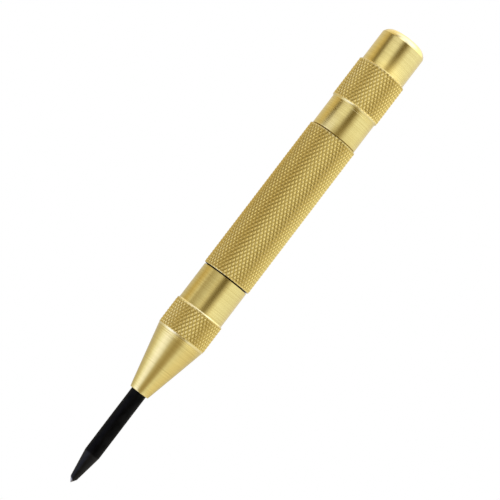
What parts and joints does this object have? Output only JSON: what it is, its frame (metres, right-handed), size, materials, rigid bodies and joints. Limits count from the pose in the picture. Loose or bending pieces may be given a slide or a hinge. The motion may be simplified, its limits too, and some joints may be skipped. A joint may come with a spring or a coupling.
{
  "type": "automatic center punch",
  "caption": "Automatic center punch: knurled brass grip with a coned nose, a sprung hammer inside, a screwed tension cap and a black steel punch.",
  "frame": {"origin": "the punch's point, on the tool's axis", "axes": "+Z along the tool's axis from the point to the end of the adjusting cap; +X is the way the trip pin leans at rest"},
  "size_m": [0.0128, 0.0128, 0.1295],
  "materials": {
    "brass": "turned and knurled, satin",
    "black_oxide_steel": "black oxide, with a ground point",
    "ground_steel": "ground, lightly oiled",
    "spring_steel": "drawn wire, oiled"
  },
  "bodies": {
    "barrel": {"barrel": "brass", "nose_cone": "brass", "return_spring": "spring_steel"},
    "punch": {"punch_point": "black_oxide_steel"},
    "trip_pin": {"trip_pin": "ground_steel"},
    "hammer": {"hammer": "ground_steel"},
    "spring_seat": {"spring_seat": "ground_steel", "main_spring": "spring_steel"},
    "cap": {"adjusting_cap": "brass"}
  },
  "joints": [
    {"name": "press", "type": "slide", "parent": "barrel", "child": "punch", "axis": [0, 0, 1], "range_m": [0, 0.009], "stiffness_N_per_m": 370, "springref_m": -0.002, "deforming": ["return_spring"]},
    {"name": "pin_tilt", "type": "hinge", "parent": "punch", "child": "trip_pin", "pos_m": [0, 0, 0.04212], "axis": [0, 1, 0], "range_deg": [-1.9, 0]},
    {"name": "hammer_travel", "type": "slide", "parent": "barrel", "child": "hammer", "axis": [0, 0, 1], "range_m": [0, 0.009], "stiffness_N_per_m": 5900, "deforming": ["main_spring"]},
    {"name": "cap_travel", "type": "slide", "parent": "barrel", "child": "spring_seat", "axis": [0, 0, 1], "range_m": [0, 0.005], "deforming": ["main_spring"]},
    {"name": "cap_turn", "type": "hinge", "parent": "spring_seat", "child": "cap", "pos_m": [0, 0, 0.115], "axis": [0, 0, 1], "range_deg": [0, 1800]}
  ],
  "couplings": [
    {"joint": "pin_tilt", "follows": "press", "rad_per_m": -3.482},
    {"joint": "hammer_travel", "follows": "press", "ratio": 1},
    {"joint": "cap_travel", "follows": "cap_turn", "m_per_rad": 0.00015915}
  ]
}
